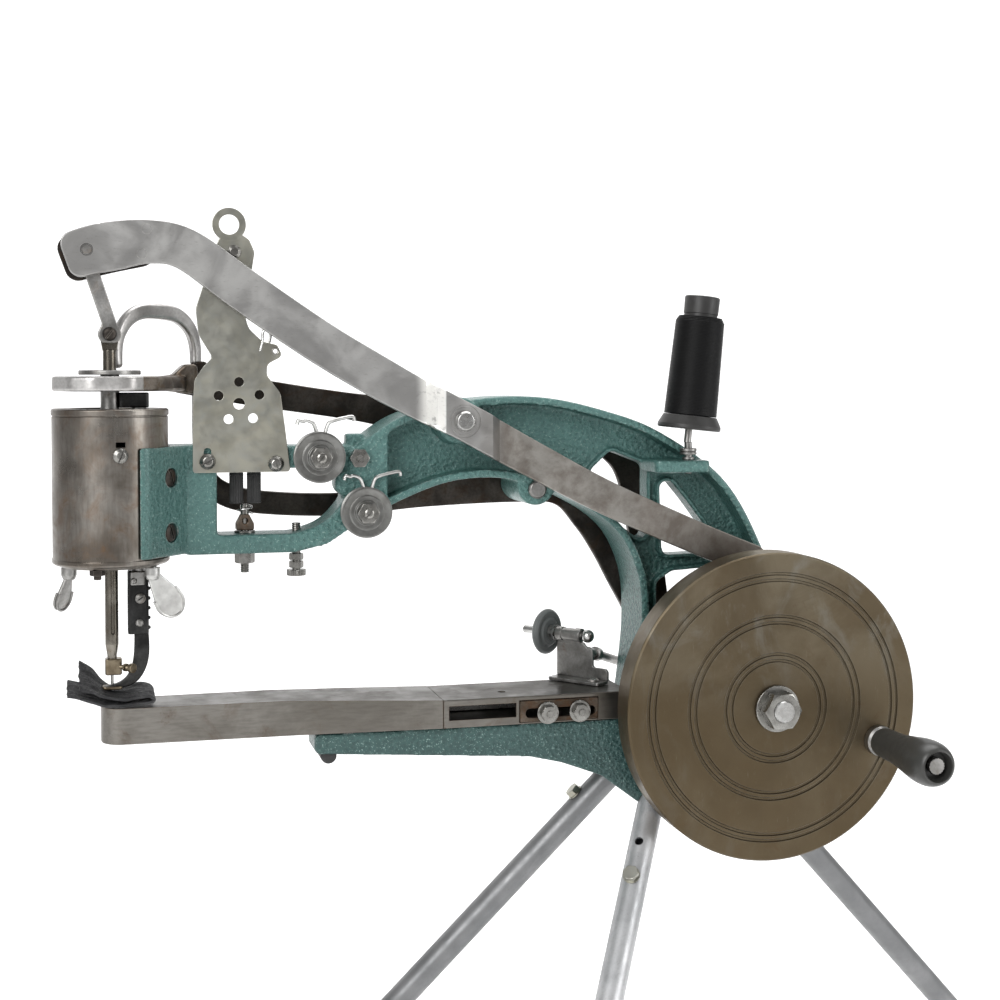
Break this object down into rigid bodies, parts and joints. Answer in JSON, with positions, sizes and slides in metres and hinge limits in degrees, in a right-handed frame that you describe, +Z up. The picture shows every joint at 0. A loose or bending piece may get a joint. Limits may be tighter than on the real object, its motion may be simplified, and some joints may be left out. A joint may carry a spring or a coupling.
{
  "type": "leather sewing machine",
  "caption": "Hand-cranked leather sewing machine with a cast arm, rotating needle head, long bed, crank wheel and tripod legs.",
  "frame": {"origin": "centre of the bounding box on the floor", "axes": "+X towards the hand wheel, +Y towards the back, +Z up"},
  "size_m": [0.761, 0.3782, 0.6819],
  "materials": {
    "green": "green hammertone enamel on cast iron",
    "steel": "ground steel with light brown patina",
    "dark": "oily brown-black steel",
    "zinc": "bright zinc plating",
    "black": "black rubber",
    "plastic": "satin black plastic",
    "tube": "silver-grey painted tube",
    "thread": "black bonded thread",
    "leather": "black scrap leather",
    "wheel": "machined cast iron, oily brown"
  },
  "bodies": {
    "frame": {"frame_casting": "green", "leg_left": "tube", "leg_bolt_left": "zinc", "foot_left": "black", "leg_front": "tube", "leg_bolt_front": "zinc", "foot_front": "black", "leg_right": "tube", "leg_bolt_right": "zinc", "foot_right": "black", "head_cylinder": "steel", "clamp_screw_upper": "dark", "clamp_screw_lower": "dark", "lever_bolt": "steel", "rear_pin": "zinc", "thread_plate": "zinc", "plate_screw_left": "zinc", "pad_left": "black", "plate_screw_right": "zinc", "pad_right": "black", "tension_rod": "zinc", "adjust_bolt": "zinc", "lock_nut": "zinc", "spool_spindle": "zinc", "bed_arm": "steel", "bed_cover": "steel", "slide_plate": "steel", "bed_nut_left": "zinc", "bed_nut_right": "zinc", "leather_sample": "leather", "winder_bracket": "zinc", "winder_rod": "steel"},
    "wheel": {"hand_wheel": "wheel", "main_shaft": "steel", "wheel_nut": "zinc", "rear_cam": "dark", "handle_bolt": "zinc"},
    "handle": {"handle_grip": "plastic"},
    "needle_lever": {"needle_lever": "steel"},
    "needle_link": {"needle_link": "steel"},
    "needle_bar": {"needle_bar": "steel", "needle": "steel"},
    "ring_lever": {"ring_lever": "dark"},
    "gooseneck_lever": {"gooseneck_lever": "dark"},
    "turret": {"turret": "steel"},
    "wing_left": {"wing_screw_left": "zinc"},
    "wing_right": {"wing_screw_right": "zinc"},
    "presser": {"presser_sleeve": "dark"},
    "presser_foot": {"presser_foot": "dark"},
    "spool": {"spool_core": "plastic", "spool_thread": "thread"},
    "disc_upper": {"tension_disc_upper": "steel"},
    "disc_lower": {"tension_disc_lower": "steel"},
    "screw_upper": {"tension_screw_upper": "zinc"},
    "screw_lower": {"tension_screw_lower": "zinc"},
    "winder": {"winder_spindle": "zinc", "winder_tyre": "black"},
    "shuttle": {"shuttle": "steel"},
    "bobbin": {"bobbin": "steel"},
    "rack": {"rack_rod": "steel"}
  },
  "joints": [
    {"name": "wheel_spin", "type": "hinge", "parent": "frame", "child": "wheel", "pos_m": [0.06824, 0.08139, 0.365], "axis": [0, 1, 0], "continuous": true},
    {"name": "handle_spin", "type": "hinge", "parent": "wheel", "child": "handle", "pos_m": [0.14124, 0.08139, 0.34], "axis": [0, 1, 0], "continuous": true},
    {"name": "needle_lever_swing", "type": "hinge", "parent": "frame", "child": "needle_lever", "pos_m": [-0.12851, 0.08139, 0.55], "axis": [0, 1, 0], "range_deg": [0, 9]},
    {"name": "needle_link_swing", "type": "hinge", "parent": "needle_lever", "child": "needle_link", "pos_m": [-0.35851, 0.08139, 0.654], "axis": [0, 1, 0], "range_deg": [0, 12.5]},
    {"name": "needle_bar_slide", "type": "slide", "parent": "frame", "child": "needle_bar", "axis": [0, 0, 1], "range_m": [0, 0.0336]},
    {"name": "ring_lever_swing", "type": "hinge", "parent": "frame", "child": "ring_lever", "pos_m": [-0.12851, 0.08139, 0.55], "axis": [0, 1, 0], "range_deg": [0, 0.9]},
    {"name": "gooseneck_swing", "type": "hinge", "parent": "frame", "child": "gooseneck_lever", "pos_m": [-0.07651, 0.08139, 0.505], "axis": [0, 1, 0], "range_deg": [0, 0.72]},
    {"name": "turret_turn", "type": "hinge", "parent": "frame", "child": "turret", "pos_m": [-0.34551, 0.08139, 0.46], "axis": [0, 0, 1], "range_deg": [-115, 115]},
    {"name": "presser_lift", "type": "slide", "parent": "turret", "child": "presser", "axis": [0, 0, 1], "range_m": [0, 0.0033]},
    {"name": "foot_swing", "type": "hinge", "parent": "presser", "child": "presser_foot", "pos_m": [-0.32851, 0.08139, 0.443], "axis": [0, 1, 0], "range_deg": [-2.5, 2.5]},
    {"name": "wing_left_turn", "type": "hinge", "parent": "turret", "child": "wing_left", "pos_m": [-0.37051, 0.08139, 0.456], "axis": [0, 0, 1], "continuous": true},
    {"name": "wing_right_turn", "type": "hinge", "parent": "turret", "child": "wing_right", "pos_m": [-0.32151, 0.06839, 0.456], "axis": [0, 0, 1], "range_deg": [-30, 30]},
    {"name": "spool_spin", "type": "hinge", "parent": "frame", "child": "spool", "pos_m": [0.02599, 0.07139, 0.54], "axis": [0.108, 0, 0.9942], "continuous": true},
    {"name": "disc_upper_spin", "type": "hinge", "parent": "frame", "child": "disc_upper", "pos_m": [-0.21901, 0.08139, 0.528], "axis": [0, 1, 0], "continuous": true},
    {"name": "disc_lower_spin", "type": "hinge", "parent": "frame", "child": "disc_lower", "pos_m": [-0.18951, 0.08139, 0.493], "axis": [0, 1, 0], "continuous": true},
    {"name": "screw_upper_turn", "type": "hinge", "parent": "frame", "child": "screw_upper", "pos_m": [-0.21901, 0.08139, 0.528], "axis": [0, 1, 0], "continuous": true},
    {"name": "screw_lower_turn", "type": "hinge", "parent": "frame", "child": "screw_lower", "pos_m": [-0.18951, 0.08139, 0.493], "axis": [0, 1, 0], "continuous": true},
    {"name": "winder_spin", "type": "hinge", "parent": "frame", "child": "winder", "pos_m": [-0.05651, 0.12139, 0.4045], "axis": [0.6157, -0.788, 0], "continuous": true},
    {"name": "rack_slide", "type": "slide", "parent": "frame", "child": "rack", "axis": [1, 0, 0], "range_m": [-0.009, 0.009]},
    {"name": "shuttle_turn", "type": "hinge", "parent": "frame", "child": "shuttle", "pos_m": [-0.33051, 0.08139, 0.365], "axis": [0, 0, 1], "range_deg": [-60, 60]},
    {"name": "bobbin_spin", "type": "hinge", "parent": "shuttle", "child": "bobbin", "pos_m": [-0.33051, 0.08139, 0.368], "axis": [0, 0, 1], "continuous": true}
  ],
  "couplings": [
    {"joint": "needle_link_swing", "follows": "needle_lever_swing", "ratio": 1.31},
    {"joint": "needle_bar_slide", "follows": "needle_lever_swing", "m_per_rad": 0.211},
    {"joint": "gooseneck_swing", "follows": "ring_lever_swing", "ratio": 0.795},
    {"joint": "presser_lift", "follows": "ring_lever_swing", "m_per_rad": 0.209},
    {"joint": "shuttle_turn", "follows": "rack_slide", "rad_per_m": -114.3}
  ]
}
